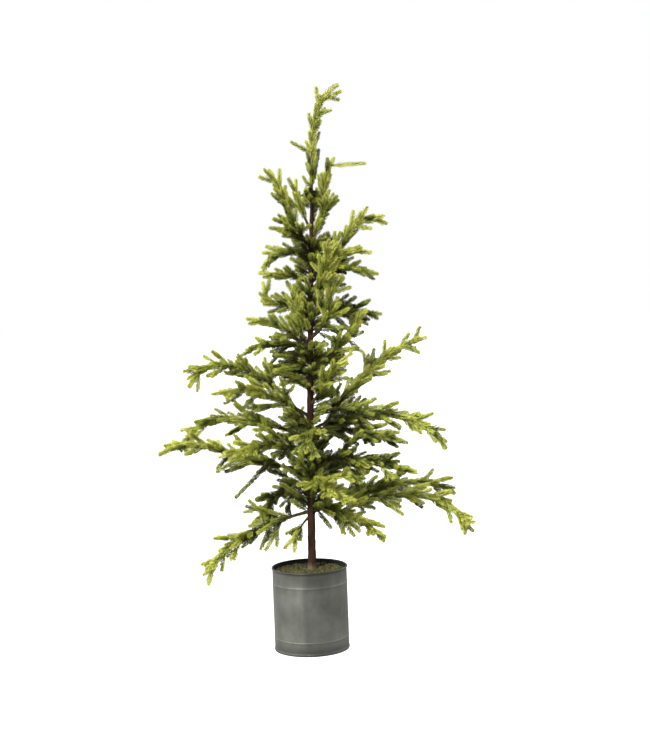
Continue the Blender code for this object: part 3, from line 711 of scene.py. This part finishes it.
def tube(line, radii, sides):
    """Rings of points round a line, one ring for each point of it."""
    ways = unit(np.gradient(line, axis=0))
    level, over = side_pair(ways)
    turn = ring_turns(sides)
    ring = level[:, None, :] * np.cos(turn)[:, None] + over[:, None, :] * np.sin(turn)[:, None]
    return line[:, None, :] + ring * radii[..., None]


def capped(rings):
    """Points and quads of a tube whose two ends are drawn in to a point."""
    count, sides = rings.shape[:2]
    foot, tip = (np.repeat(end.mean(axis=1, keepdims=True), sides, axis=1) for end in (rings[:1], rings[-1:]))
    rings = np.concatenate((foot, rings, tip))
    return rings.reshape(-1, 3), tube_faces(count + 2, sides)


def join(parts):
    """One pair of arrays from many pairs of points and faces."""
    points, faces = zip(*parts)
    firsts = np.cumsum([0, *map(len, points)])
    return np.concatenate(points), np.concatenate([some + first for some, first in zip(faces, firsts)])


def ridges(points, scale, stretch=1.0):
    """Bark noise at points, between about -1 and 1, drawn out along Z by the stretch."""
    return np.array([noise.fractal(Vector((x * scale, y * scale, z * scale / stretch)), *RIDGE_FRACTAL)
                     for x, y, z in points])


def make_trunk(material):
    """The trunk with its wrap, bark ridges and the collars of its boughs."""
    count = round((TRUNK_TOP - TRUNK_FOOT) / TRUNK_STEP)
    rest = np.linspace(TRUNK_FOOT + TRUNK_STEP, TRUNK_TOP, count)
    heights = np.concatenate((TRUNK_FOOT + np.array(FOOT_HEIGHTS), rest))
    turn = ring_turns(TRUNK_SIDES)
    ring = np.stack((np.cos(turn), np.sin(turn), np.zeros(TRUNK_SIDES)), axis=-1)
    centres = np.stack((trunk_centre(heights), np.zeros(len(heights)), heights), axis=-1)
    radius = np.repeat(trunk_radius(heights)[:, None], TRUNK_SIDES, axis=1)
    surface = centres[:, None, :] + ring * radius[..., None]
    size = np.clip(radius / TRUNK_RADII[1], LEAST_RELIEF, 1.0)
    lap = (heights[:, None] / WRAP_PITCH + turn[None, :] / (2.0 * math.pi)) % 1.0
    relief = WRAP_PROUD * (lap ** 3.0 - WRAP_SINK) * size
    rough = ridges(surface.reshape(-1, 3), BARK_GRAIN, BARK_STRETCH).reshape(radius.shape)
    relief += BARK_RELIEF * size * rough
    for bough in BOUGHS[:-1]:
        off = surface - (centres[:, None, :] * (1.0, 1.0, 0.0) + (0.0, 0.0, bough.height)
                         + heading_way(bough.heading) * trunk_radius(bough.height))
        relief += SOCKET_PROUD * np.exp(-(off ** 2).sum(axis=-1) / SOCKET_REACH ** 2)
    points, faces = capped(centres[:, None, :] + ring * (radius + relief)[..., None])
    trunk = add_mesh("trunk_bark", points, faces, material)
    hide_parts("trunk")


def limb_radius(bough, share):
    """The radius of a bough's stem at a share of its length; short boughs are thinner."""
    if bough is LEADER:
        return between((TRUNK_RADII[0], LIMB_TIP_RADIUS), share)
    thick = between((SHORT_THICKNESS, 1.0), min(1.0, bough.length / LONG_LIMB))
    return between((LIMB_TIP_RADIUS, LIMB_RADIUS * thick), (1.0 - share) ** LIMB_TAPER)


def stem_rings(bough, line):
    """A bough's stem: a tapering rough tube that starts inside the trunk's collar."""
    root = line[0] - bough_way(bough, 0.0) * LIMB_ROOT
    line = np.concatenate((root[None, :], line))
    share = np.linspace(0.0, 1.0, len(line))
    radius = limb_radius(bough, share)[:, None]
    rings = tube(line, radius, LIMB_SIDES)
    rough = ridges(rings.reshape(-1, 3), LIMB_GRAIN).reshape(len(line), LIMB_SIDES)
    return tube(line, radius * (1.0 + LIMB_RELIEF * rough), LIMB_SIDES)


def make_stems(lines, material):
    """All the boughs' stems as one piece."""
    points, faces = join([capped(stem_rings(bough, line)) for bough, line in zip(BOUGHS, lines)])
    stems = add_mesh("bough_bark", points, faces, material)
    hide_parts(*("bough_" + bough.name for bough in LONG_BOUGHS))


def make_twigs(twigs, material):
    """The fine wire stems of every shoot and spray as one piece."""
    parts = []
    for twig in twigs:
        if not twig.stem:
            radius = np.linspace(twig.radius, twig.tip_radius, len(twig.line))
            parts.append(capped(tube(twig.line, radius[:, None], TWIG_SIDES)))
    points, faces = join(parts)
    piece = add_mesh("twigs", points, faces, material)
    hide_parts(*("foliage_" + bough.name for bough in BOUGHS))


def dress(twig, rng):
    """Foot, way, length and tone of each needle on a twig, as one array a row."""
    length = line_length(twig.line) * (1.0 - twig.bare)
    count = max(LEAST_NEEDLES, int(length / NEEDLE_PITCH))
    order = np.arange(count + TUFT_NEEDLES)
    part = np.minimum((order + rng.uniform(0.0, NEEDLE_SCATTER, len(order))) / count, 1.0)
    feet, ways = sample(twig.line, between((twig.bare, 1.0), part))
    level, over = side_pair(ways)
    turn = np.radians(GOLDEN_TURN * order + rng.normal(0.0, NEEDLE_TURN_SWAY, len(order)))[:, None]
    lean = np.where(order >= count, rng.uniform(TUFT_ANGLE, NEEDLE_ANGLES[1], len(order)),
                    between(NEEDLE_ANGLES, part))
    lean = np.radians(lean + rng.normal(0.0, NEEDLE_SWAY, len(order)))[:, None]
    radial = level * np.cos(turn) + over * np.sin(turn)
    out = unit(ways * np.cos(lean) + radial * np.sin(lean))
    feet = feet + radial * between((twig.radius, twig.tip_radius), part)[:, None] * ROOT_SHARE
    full = np.clip(part / FOOT_SHARE, FOOT_FULLNESS, 1.0) * (1.0 - TIP_THINNING * part ** 3)
    sizes = NEEDLE_LENGTH * twig.needle * full * rng.uniform(*NEEDLE_SIZES, len(order))
    return feet, out, sizes, tone_of(twig, part, out, rng)


def tone_of(twig, part, ways, rng):
    """The tone of each needle: lighter outward and towards a spray's tip, as new growth and as painted shade
    within; painted light in front and on its top, painted shade behind and in the middle.
    """
    across, deep, height = twig.line[len(twig.line) // 2]
    # Lighter outward, as new growth and as painted shade deep in the crown.
    level = BASE_LEVEL + OUT_LIGHT * twig.out + rng.normal(0.0, SPRAY_SPREAD)
    # Painted shade behind, painted light in front.
    level -= BACK_SHADE * np.clip(deep / BACK_DEPTH, FRONT_LIMIT, 1.0)
    if twig.stem:
        level = level + STEM_TIP_LIGHT * (part - 0.5)
    # Painted shade in the dense middle of the crown.
    near = max(0.0, 1.0 - abs(across) / MIDDLE_REACH)
    level -= MIDDLE_SHADE * math.exp(-((height - MIDDLE_HEIGHT) / MIDDLE_SPAN) ** 2) * near
    # Lighter towards a spray's tip, as new growth and as painted shade at its foot; painted light on needles
    # facing up, painted shade on those facing down.
    level = level + TIP_LIGHT * (part - TIP_MIDDLE) + TOP_LIGHT * ways[:, 2]
    return np.clip(np.round(level), 0, len(TONES) - 1).astype(int)


def needle_mesh(feet, ways, sizes):
    """Points and triangles of slim needles, each of two faces folded along the middle."""
    level, over = side_pair(ways)
    turn = (np.arange(len(feet)) * NEEDLE_SPIN)[:, None]
    across = level * np.cos(turn) + over * np.sin(turn)
    keel = over * np.cos(turn) - level * np.sin(turn)
    belly = feet + ways * (sizes * NEEDLE_BELLY)[:, None] + keel * NEEDLE_WIDTH * NEEDLE_FOLD
    half = across * NEEDLE_WIDTH * 0.5
    points = (feet, belly + half, feet + ways * sizes[:, None], belly - half)
    first = (np.arange(len(feet)) * 4)[:, None, None]
    faces = np.array([(0, 1, 2), (0, 2, 3)])
    return np.stack(points, axis=1).reshape(-1, 3), (faces[None] + first).reshape(-1, 3)


def make_needles(twigs):
    """Every needle, joined into one piece for each tone."""
    rng = np.random.default_rng(NEEDLE_SEED)
    rows = zip(*(dress(twig, rng) for twig in twigs))
    feet, ways, sizes, tones = (np.concatenate(row) for row in rows)
    for index, (tone, color) in enumerate(TONES):
        some = tones == index
        points, faces = needle_mesh(feet[some], ways[some], sizes[some])
        material = needle_material(tone, color)
        add_mesh(f"needles_{tone}_0", points, faces, material, smooth=False)


def wall(low, high, steps):
    """Points up the pot's plain wall, from above one height to another."""
    return [(POT_RADIUS, low + (high - low) * step / steps) for step in range(1, steps + 1)]


def pot_profile():
    """The pot's outline from under its floor, up its outside and down its inside."""
    outside = [(0.0, 0.0), (POT_RADIUS * 0.5, 0.0)]
    outside += [(POT_RADIUS + out, height) for out, height in FOOT_STEPS]
    level = FOOT_STEPS[-1][1]
    for middle in BAND_HEIGHTS:
        outside += wall(level, middle - BAND_HALF, WALL_STEPS)
        for share in np.arange(1, BAND_STEPS) / BAND_STEPS:
            outside.append((POT_RADIUS + BAND_PROUD * math.sin(math.pi * share) ** BAND_ROUND,
                            middle + BAND_HALF * (2.0 * share - 1.0)))
        level = middle + BAND_HALF
        outside.append((POT_RADIUS, level))
    bead = POT_HEIGHT - RIM_BEAD
    outside += wall(level, bead - RIM_BEAD * RIM_FOOT, RIM_WALL_STEPS)
    for angle in np.radians(np.linspace(*RIM_ARC)):
        outside.append((POT_RADIUS + RIM_BEAD * math.cos(angle), bead + RIM_BEAD * math.sin(angle)))
    inner = POT_RADIUS - POT_WALL
    inside = [(inner, POT_HEIGHT - RIM_BEAD * share) for share in INNER_STEPS]
    inside += [(inner, POT_FLOOR), (inner * 0.5, POT_FLOOR), (0.0, POT_FLOOR)]
    return np.array(outside + inside)


def pot_push(turn, height):
    """Soft dents in the thin sheet, and the step of its lap seam."""
    dents = sum(depth * np.sin(waves * turn + climb * height + start) for depth, waves, climb, start in DENTS)
    free = np.clip(np.sin(math.pi * np.clip(height / POT_HEIGHT, 0.0, 1.0)), 0.0, 1.0)
    lag = (SEAM_TURN - np.degrees(turn)) % 360.0
    lap = SEAM_STEP * np.clip(1.0 - lag / SEAM_FADE, 0.0, 1.0)
    return POT_DENT * dents * free + lap * (height > SEAM_FOOT)


def make_pot(material):
    """The galvanised pot: bands, rolled rim, seam and soft dents."""
    radius, height = pot_profile().T[..., None]
    turn = ring_turns(POT_SIDES)
    radius = radius + pot_push(turn, height)
    height = np.repeat(height, POT_SIDES, axis=1)
    rings = np.stack((radius * np.cos(turn), radius * np.sin(turn), height), axis=-1)
    pot = add_mesh("zinc_pot", rings.reshape(-1, 3), tube_faces(len(rings), POT_SIDES), material)
    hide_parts("pot")


def moss_height(x, y):
    """The height of the moss bed's top at a place."""
    radius = math.hypot(x - trunk_centre(TRUNK_FOOT), y)
    lumps = noise.fractal(Vector((x * MOSS_LUMPS, y * MOSS_LUMPS, MOSS_SLICE)), *MOSS_FRACTAL)
    edge = min(1.0, (POT_RADIUS - POT_WALL - math.hypot(x, y)) / MOSS_EDGE)
    crown = MOSS_CROWN * between((MOSS_EDGE_SHARE, 1.0), edge) + MOSS_LUMP * lumps
    return FILL_TOP + GAP + crown + SWELL * math.exp(-((radius - SWELL_RADIUS) / SWELL_FADE) ** 2)


def make_moss():
    """A lumpy bed of moss round the trunk's foot, and the strands that stand out of it."""
    bed_paint, *paints = [moss_material(*row) for row in MOSS_TONES]
    outer = POT_RADIUS - POT_WALL - GAP
    turn = ring_turns(MOSS_SIDES)
    round_way = np.stack((np.cos(turn), np.sin(turn)), axis=-1)
    foot = trunk_centre(TRUNK_FOOT)
    start = round_way * MOSS_HOLE + (foot, 0.0)
    rings = []
    for share in np.linspace(0.0, 1.0, MOSS_RINGS):
        rings.append([(x, y, moss_height(x, y)) for x, y in between((start, outer * round_way), share)])
    rings.append([(x, y, FILL_TOP + GAP) for x, y in outer * round_way])
    rings.insert(0, [(x, y, FILL_TOP + GAP) for x, y, _ in rings[0]])
    rings = np.array(rings)[::-1]
    bed = add_mesh("moss_bed", rings.reshape(-1, 3), tube_faces(len(rings), MOSS_SIDES), bed_paint)
    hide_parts("moss")
    rng = np.random.default_rng(MOSS_SEED)
    reach = outer * np.sqrt(rng.uniform(*STRAND_SPOTS, MOSS_STRANDS))
    angle = rng.uniform(0.0, 2.0 * math.pi, MOSS_STRANDS)
    spots = np.stack((reach * np.cos(angle), reach * np.sin(angle)), axis=-1)
    feet = np.array([(x, y, moss_height(x, y) - STRAND_SINK) for x, y in spots])
    ways = unit(rng.normal(0.0, STRAND_LEAN, (MOSS_STRANDS, 3)) * STRAND_FLAT + STRAND_RISE)
    sizes = MOSS_STRAND * rng.uniform(*STRAND_SIZES, MOSS_STRANDS)
    tips = feet + ways * sizes[:, None]
    inside = (np.hypot(tips[:, 0], tips[:, 1]) < outer - STRAND_CLEAR) & (
        np.hypot(feet[:, 0] - foot, feet[:, 1]) > STRAND_HOLE)
    patch = np.array([noise.noise(Vector((x * PATCH_SCALE, y * PATCH_SCALE, PATCH_SLICE))) for x, y in spots])
    bands = np.digitize(patch + rng.normal(0.0, PATCH_SPREAD, MOSS_STRANDS), PATCH_LIMITS)
    for band, paint in enumerate(paints):
        some = (bands == band) & inside
        points, faces = needle_mesh(feet[some], ways[some], sizes[some])
        add_mesh(f"moss_strands_{MOSS_TONES[band + 1][0]}", points, faces, paint, smooth=False)


def feed(tree, node, inputs):
    """Give a node's inputs values, or the outputs of other nodes."""
    for key, value in inputs.items():
        if isinstance(value, bpy.types.NodeSocket):
            tree.links.new(value, node.inputs[key])
        else:
            node.inputs[key].default_value = value


def add_node(tree, kind, inputs, **settings):
    """The outputs of a new shader node, set up and with its inputs fed."""
    node = tree.nodes.new("ShaderNode" + kind)
    for key, value in settings.items():
        setattr(node, key, value)
    feed(tree, node, inputs)
    return node.outputs


def new_material(name, roughness, metallic=0.0):
    """A Principled material, its node tree and its shader."""
    material = bpy.data.materials.new(name)
    material.use_nodes = True
    tree = material.node_tree
    shader = tree.nodes["Principled BSDF"]
    feed(tree, shader, {"Roughness": roughness, "Metallic": metallic})
    return material, tree, shader


def own_place(tree):
    """The coordinates of the object itself, whole and split in three."""
    place = add_node(tree, "TexCoord", {})
    return place, add_node(tree, "SeparateXYZ", {"Vector": place["Object"]})


def add_noise(tree, scale, detail=4.0, stretch=(1.0, 1.0, 1.0)):
    """A noise pattern in the object's own coordinates."""
    place = add_node(tree, "TexCoord", {})["Object"]
    place = add_node(tree, "Mapping", {"Vector": place, "Scale": stretch})["Vector"]
    return add_node(tree, "TexNoise", {"Vector": place, "Scale": scale, "Detail": detail})["Fac"]


def add_ramp(tree, source, stops):
    """A colour ramp over a value."""
    ramp = tree.nodes.new("ShaderNodeValToRGB")
    feed(tree, ramp, {"Fac": source})
    elements = ramp.color_ramp.elements
    while len(elements) < len(stops):
        elements.new(0.5)
    for element, (place, color) in zip(elements, stops):
        element.position = place
        element.color = (*color, 1.0)
    return ramp.outputs["Color"]


def blend(tree, source, spread, dark, light):
    """A colour ramp between two tones, a spread below and above the middle of a value."""
    return add_ramp(tree, source, ((0.5 - spread, dark), (0.5 + spread, light)))


def add_bump(tree, shader, source, distance, strength=1.0):
    """Bump from a value, in metres."""
    bump = add_node(tree, "Bump", {"Height": source, "Distance": distance, "Strength": strength})
    feed(tree, shader, {"Normal": bump["Normal"]})


def add_math(tree, operation, first, second):
    """A math node over two values, either an output or a number."""
    return add_node(tree, "Math", {0: first, 1: second}, operation=operation)["Value"]


def needle_material(tone, color):
    """Soft plastic needles of one tone, with a faint drift between needles."""
    material, tree, shader = new_material("needle_" + tone, NEEDLE_ROUGH)
    tones = (tuple(channel * shade for channel in color) for shade in NEEDLE_SHADES)
    color = blend(tree, add_noise(tree, *NEEDLE_DRIFT), SOFT_SPREAD, *tones)
    feed(tree, shader, {"Base Color": color, "Specular IOR Level": NEEDLE_GLOSS})
    return material


def smooth_step(tree, value, low, high):
    """0 below one value, 1 above another, and smooth between them."""
    return add_node(tree, "MapRange", {"Value": value, "From Min": low, "From Max": high},
                    interpolation_type="SMOOTHSTEP")["Result"]


def bark_material(name, tones, scale, paper=None):
    """Matt brown bark with streaks along the stem, and paler paper at its foot where tones are given."""
    material, tree, shader = new_material(name, MATT)
    streaks = add_noise(tree, scale, *BARK_STREAKS)
    color = blend(tree, streaks, BARK_SPREAD, *tones)
    if paper:
        _, parts = own_place(tree)
        high = smooth_step(tree, parts["Z"], *PAPER_HEIGHTS)
        paper_color = blend(tree, streaks, BARK_SPREAD, *paper)
        color = add_node(tree, "MixRGB", {"Fac": high, "Color1": color, "Color2": paper_color})["Color"]
    feed(tree, shader, {"Base Color": color, "Specular IOR Level": BARK_GLOSS})
    add_bump(tree, shader, add_noise(tree, scale * FIBRE_SCALE, *BARK_FIBRES), ROUGH_BUMP)
    return material


def shaded(tree, color, where, amount):
    """A colour darkened by an amount where a value is 1."""
    factor = add_math(tree, "SUBTRACT", 1.0, add_math(tree, "MULTIPLY", where, amount))
    return add_node(tree, "VectorMath", {0: color, "Scale": factor}, operation="SCALE")["Vector"]


def facing_in(tree, place):
    """1 where a turned form's surface faces its own axis, 0 where it faces out."""
    level = add_node(tree, "VectorMath", {0: place["Object"], 1: (1.0, 1.0, 0.0)}, operation="MULTIPLY")
    dot = add_node(tree, "VectorMath", {0: level["Vector"], 1: place["Normal"]}, operation="DOT_PRODUCT")
    return smooth_step(tree, dot["Value"], INSIDE_LIMIT * POT_RADIUS, -INSIDE_LIMIT * POT_RADIUS)


def zinc_material():
    """Weathered galvanised sheet: clouds, streaks, painted shade on the lap and inside, a painted shadow
    under the rim, painted shade on its bead, and darker towards the foot.
    """
    material, tree, shader = new_material("zinc", 0.5, ZINC_METAL)
    patterns = [add_noise(tree, *pattern) for pattern in (ZINC_CLOUDS, ZINC_STREAKS, ZINC_GRAIN)]
    clouds, _, grain = patterns
    mix = 0.0
    for pattern, share in zip(patterns, ZINC_MIX):
        mix = add_math(tree, "ADD", mix, add_math(tree, "MULTIPLY", pattern, share))
    color = add_ramp(tree, mix, ZINC_TONES)
    place, (across, deep, high) = own_place(tree)
    # Painted shade on the lap beside the seam, on the front only.
    seam = POT_RADIUS * math.cos(math.radians(SEAM_TURN))
    wavy = add_math(tree, "ADD", across, add_math(tree, "MULTIPLY", clouds, LAP_WAVE))
    lap = add_math(tree, "MULTIPLY", smooth_step(tree, wavy, seam + LAP_EDGE[0], seam + LAP_EDGE[1]),
                   smooth_step(tree, across, seam + LAP_END[0], seam + LAP_END[1]))
    lap = add_math(tree, "MULTIPLY", lap, smooth_step(tree, deep, *LAP_FRONT))
    color = shaded(tree, color, lap, LAP_SHADE)
    # Painted shadow under the rim, painted shade on the bead, and darker towards the foot.
    for low, full, amount in ZINC_SHADES:
        color = shaded(tree, color, smooth_step(tree, high, low, full), amount)
    # Painted shade on the inside wall.
    color = shaded(tree, color, facing_in(tree, place), INSIDE_SHADE)
    feed(tree, shader, {"Base Color": color, "Roughness": blend(tree, clouds, SOFT_SPREAD, *ZINC_ROUGH)})
    add_bump(tree, shader, grain, *ZINC_BUMP)
    return material


def moss_material(tone, dark, light):
    """Dry moss between two tones."""
    material, tree, shader = new_material("moss_" + tone, MOSS_ROUGH)
    feed(tree, shader, {"Base Color": blend(tree, add_noise(tree, *MOSS_GRAIN), SOFT_SPREAD, dark, light)})
    return material


def fill_material():
    """Matt cast weighting."""
    material, tree, shader = new_material("fill", MATT)
    grain = add_noise(tree, *FILL_GRAIN)
    feed(tree, shader, {"Base Color": blend(tree, grain, WIDE_SPREAD, *FILL_TONES)})
    add_bump(tree, shader, grain, ROUGH_BUMP)
    return material


def floor_material():
    """Plain pale floor that glows to the camera, so that it has no shadow to speak of."""
    material, tree, shader = new_material("floor", MATT)
    ray = add_node(tree, "LightPath", {})
    feed(tree, shader, {
        "Base Color": blend(tree, add_noise(tree, *FLOOR_CLOUDS), WIDE_SPREAD, *FLOOR_TONES),
        "Emission Color": WHITE,
        "Emission Strength": add_math(tree, "MULTIPLY", ray["Is Camera Ray"], FLOOR_GLOW)})
    return material


def make_floor():
    """A wide pale floor at the pot's foot."""
    half = FLOOR_SIDE / 2.0
    mesh = bpy.data.meshes.new("floor")
    mesh.from_pydata([(-half, -half, 0.0), (half, -half, 0.0), (half, half, 0.0), (-half, half, 0.0)],
                     [], [(0, 1, 2, 3)])
    mesh.materials.append(floor_material())
    floor = bpy.data.objects.new("floor", mesh)
    bpy.context.collection.objects.link(floor)


def make_world():
    """A white backdrop, seen and mirrored, with a dimmer white room to light the object."""
    world = bpy.data.worlds.new("studio")
    world.use_nodes = True
    tree = world.node_tree
    room = tree.nodes["Background"]
    feed(tree, room, {"Color": WHITE, "Strength": WORLD_LEVEL})
    backdrop = add_node(tree, "Background", {"Color": WHITE, "Strength": BACKDROP_LEVEL})
    ray = add_node(tree, "LightPath", {})
    seen = add_math(tree, "MAXIMUM", ray["Is Camera Ray"], ray["Is Glossy Ray"])
    mix = add_node(tree, "MixShader", {"Fac": seen, 1: room.outputs[0], 2: backdrop[0]})
    feed(tree, tree.nodes["World Output"], {"Surface": mix[0]})
    bpy.context.scene.world = world


def make_sun(name, level, spread, place):
    """One broad soft light from the direction of a place."""
    data = bpy.data.lights.new(name, "SUN")
    data.energy = level
    data.angle = math.radians(spread)
    light = bpy.data.objects.new(name, data)
    light.rotation_mode = "QUATERNION"
    light.rotation_quaternion = (-Vector(place)).to_track_quat("-Z", "Y")
    bpy.context.collection.objects.link(light)


def make_camera():
    """The camera at the photograph's place: panned, pitched down and rolled."""
    pan, pitch, roll = np.radians(CAMERA_TURNS)
    ahead = Vector((math.sin(pan) * math.cos(pitch), math.cos(pan) * math.cos(pitch), -math.sin(pitch)))
    side = Vector((math.cos(pan), -math.sin(pan), 0.0))
    above = side.cross(ahead)
    right = side * math.cos(roll) + above * math.sin(roll)
    up = above * math.cos(roll) - side * math.sin(roll)
    data = bpy.data.cameras.new("camera")
    data.lens = LENS_MM
    data.sensor_width = SENSOR_MM
    camera = bpy.data.objects.new("camera", data)
    turn = Matrix((right, up, -ahead)).transposed()
    camera.matrix_world = Matrix.Translation(CAMERA_PLACE) @ turn.to_4x4()
    bpy.context.collection.objects.link(camera)
    bpy.context.scene.camera = camera
    bpy.context.scene.view_settings.view_transform = "Standard"


def make_tree():
    """Trunk, stems, twigs and needles."""
    bark = bark_material("bark", TRUNK_TONES, TRUNK_STREAKS, PAPER_TONES)
    twig_bark = bark_material("twig_bark", TWIG_TONES, TWIG_STREAKS)
    lines, twigs = [], []
    for bough in BOUGHS:
        line, some = grow(bough)
        lines.append(line)
        twigs.extend(some)
    twigs.extend(trunk_sprays())
    make_trunk(bark)
    make_stems(lines, twig_bark)
    make_twigs(twigs, twig_bark)
    make_needles(twigs)


make_camera()
make_world()
for sun in SUNS:
    make_sun(*sun)
make_floor()
make_tree()
make_pot(zinc_material())
make_moss()
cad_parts["fill"].data.materials.clear()
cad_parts["fill"].data.materials.append(fill_material())
